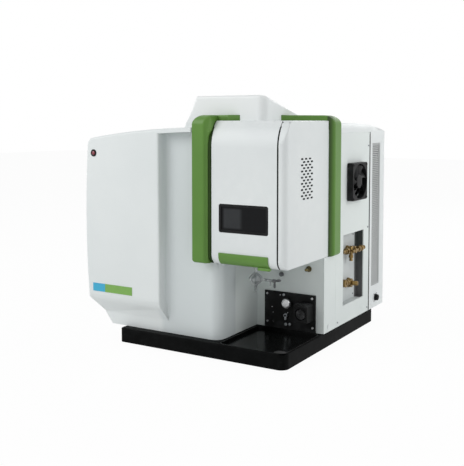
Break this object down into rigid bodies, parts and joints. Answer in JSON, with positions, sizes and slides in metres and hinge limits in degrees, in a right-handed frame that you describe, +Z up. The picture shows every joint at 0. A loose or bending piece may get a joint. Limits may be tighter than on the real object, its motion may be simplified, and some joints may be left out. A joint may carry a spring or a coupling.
{
  "type": "icp optical emission spectrometer",
  "caption": "Bench-top plasma emission spectrometer: white moulded cabinet on a black plinth, green trim hoop, lifting torch door with dark window, open sample bay with pump and drip tray.",
  "frame": {"origin": "on the bench under the middle of the whole object's box", "axes": "+X to the right seen from the front, +Y to the rear, +Z up; the front looks along -Y"},
  "size_m": [0.72, 0.762, 0.756],
  "materials": {
    "white_plastic": "fine satin moulding",
    "white_sheet": "smooth powder coat",
    "black_base": "black gloss paint",
    "black_tray": "black gloss",
    "foot_rubber": "matt",
    "frame_steel": "grey zinc finish",
    "louvre_grey": "grey paint",
    "green_trim": "green satin moulding",
    "dark_glass": "dark tinted, polished",
    "strip_blue": "printed film",
    "strip_green": "printed film",
    "black_plastic": "black moulding",
    "button_red": "red lens",
    "clear_quartz": "clear, polished",
    "grey_glass": "smoky glass",
    "ceramic_white": "matt ceramic",
    "copper": "polished copper alloy",
    "cast_aluminium": "machined casting",
    "sheet_aluminium": "bare sheet",
    "optic_mirror": "polished",
    "circuit_board": "green solder resist",
    "bright_steel": "turned, bright",
    "roller_white": "white moulding",
    "brass_plain": "dull brass"
  },
  "bodies": {
    "cabinet": {"base_plinth": "black_base", "rubber_feet": "foot_rubber", "drip_tray": "black_tray", "chassis_deck": "frame_steel", "chassis_frame": "frame_steel", "front_cover": "white_plastic", "left_side_panel": "white_plastic", "bay_left_panel": "white_sheet", "bay_back_panel": "white_sheet", "corner_panel": "white_sheet", "right_side_panel": "white_sheet", "top_cover": "white_plastic", "rear_panel": "frame_steel", "rear_cover": "white_plastic", "rear_louvre": "louvre_grey", "exhaust_hump": "white_plastic", "exhaust_duct": "sheet_aluminium", "hood_shell": "white_plastic", "hood_floor": "white_sheet", "trim_hoop": "green_trim", "hinge_pin": "bright_steel", "power_bezel": "black_plastic", "badge_blue": "strip_blue", "badge_green": "strip_green", "torch_tube": "clear_quartz", "torch_mount": "black_plastic", "induction_plates": "copper", "plate_block": "ceramic_white", "view_window": "clear_quartz", "view_tube": "cast_aluminium", "spray_chamber": "grey_glass", "nebulizer": "grey_glass", "gas_fitting": "roller_white", "optics_housing": "cast_aluminium", "optics_lid": "cast_aluminium", "optics_isolators": "foot_rubber", "focus_mirror": "optic_mirror", "grating": "cast_aluminium", "detector_module": "cast_aluminium", "generator_box": "sheet_aluminium", "power_supply": "sheet_aluminium", "control_board": "circuit_board", "pump_plate": "black_plastic", "pump_head": "black_plastic", "pump_motor": "cast_aluminium", "fan_frame": "black_plastic", "service_recess": "white_sheet", "gas_valve": "brass_plain", "coolant_fitting": "brass_plain", "cable_gland": "black_plastic"},
    "torch_door": {"door_panel": "white_plastic", "door_window": "dark_glass", "door_handle": "green_trim"},
    "power_button": {"power_button": "button_red"},
    "fan_rotor": {"fan_rotor": "black_plastic"},
    "pump_rotor": {"pump_rotor": "bright_steel", "pump_rollers": "roller_white"},
    "tension_knob": {"tension_knob": "bright_steel"},
    "release_lever": {"release_lever": "bright_steel"},
    "valve_wing": {"valve_wing": "brass_plain"}
  },
  "joints": [
    {"name": "door_lift", "type": "hinge", "parent": "cabinet", "child": "torch_door", "pos_m": [0.2, -0.334, 0.675], "axis": [-1, 0, 0], "range_deg": [0, 90]},
    {"name": "button_press", "type": "slide", "parent": "cabinet", "child": "power_button", "axis": [0, 1, 0], "range_m": [0, 0.002], "stiffness_N_per_m": 400},
    {"name": "fan_spin", "type": "hinge", "parent": "cabinet", "child": "fan_rotor", "pos_m": [0.35, 0.1055, 0.4895], "axis": [1, 0, 0], "continuous": true},
    {"name": "pump_spin", "type": "hinge", "parent": "cabinet", "child": "pump_rotor", "pos_m": [0.2855, -0.14, 0.109], "axis": [0, 1, 0], "continuous": true},
    {"name": "knob_turn", "type": "hinge", "parent": "cabinet", "child": "tension_knob", "pos_m": [0.223, -0.13, 0.129], "axis": [0, 1, 0], "range_deg": [-150, 150]},
    {"name": "lever_release", "type": "hinge", "parent": "cabinet", "child": "release_lever", "pos_m": [0.217, -0.128, 0.09], "axis": [0, 1, 0], "range_deg": [0, 90]},
    {"name": "wing_turn", "type": "hinge", "parent": "cabinet", "child": "valve_wing", "pos_m": [0.348, 0.1, 0.268], "axis": [1, 0, 0], "range_deg": [0, 90]}
  ]
}
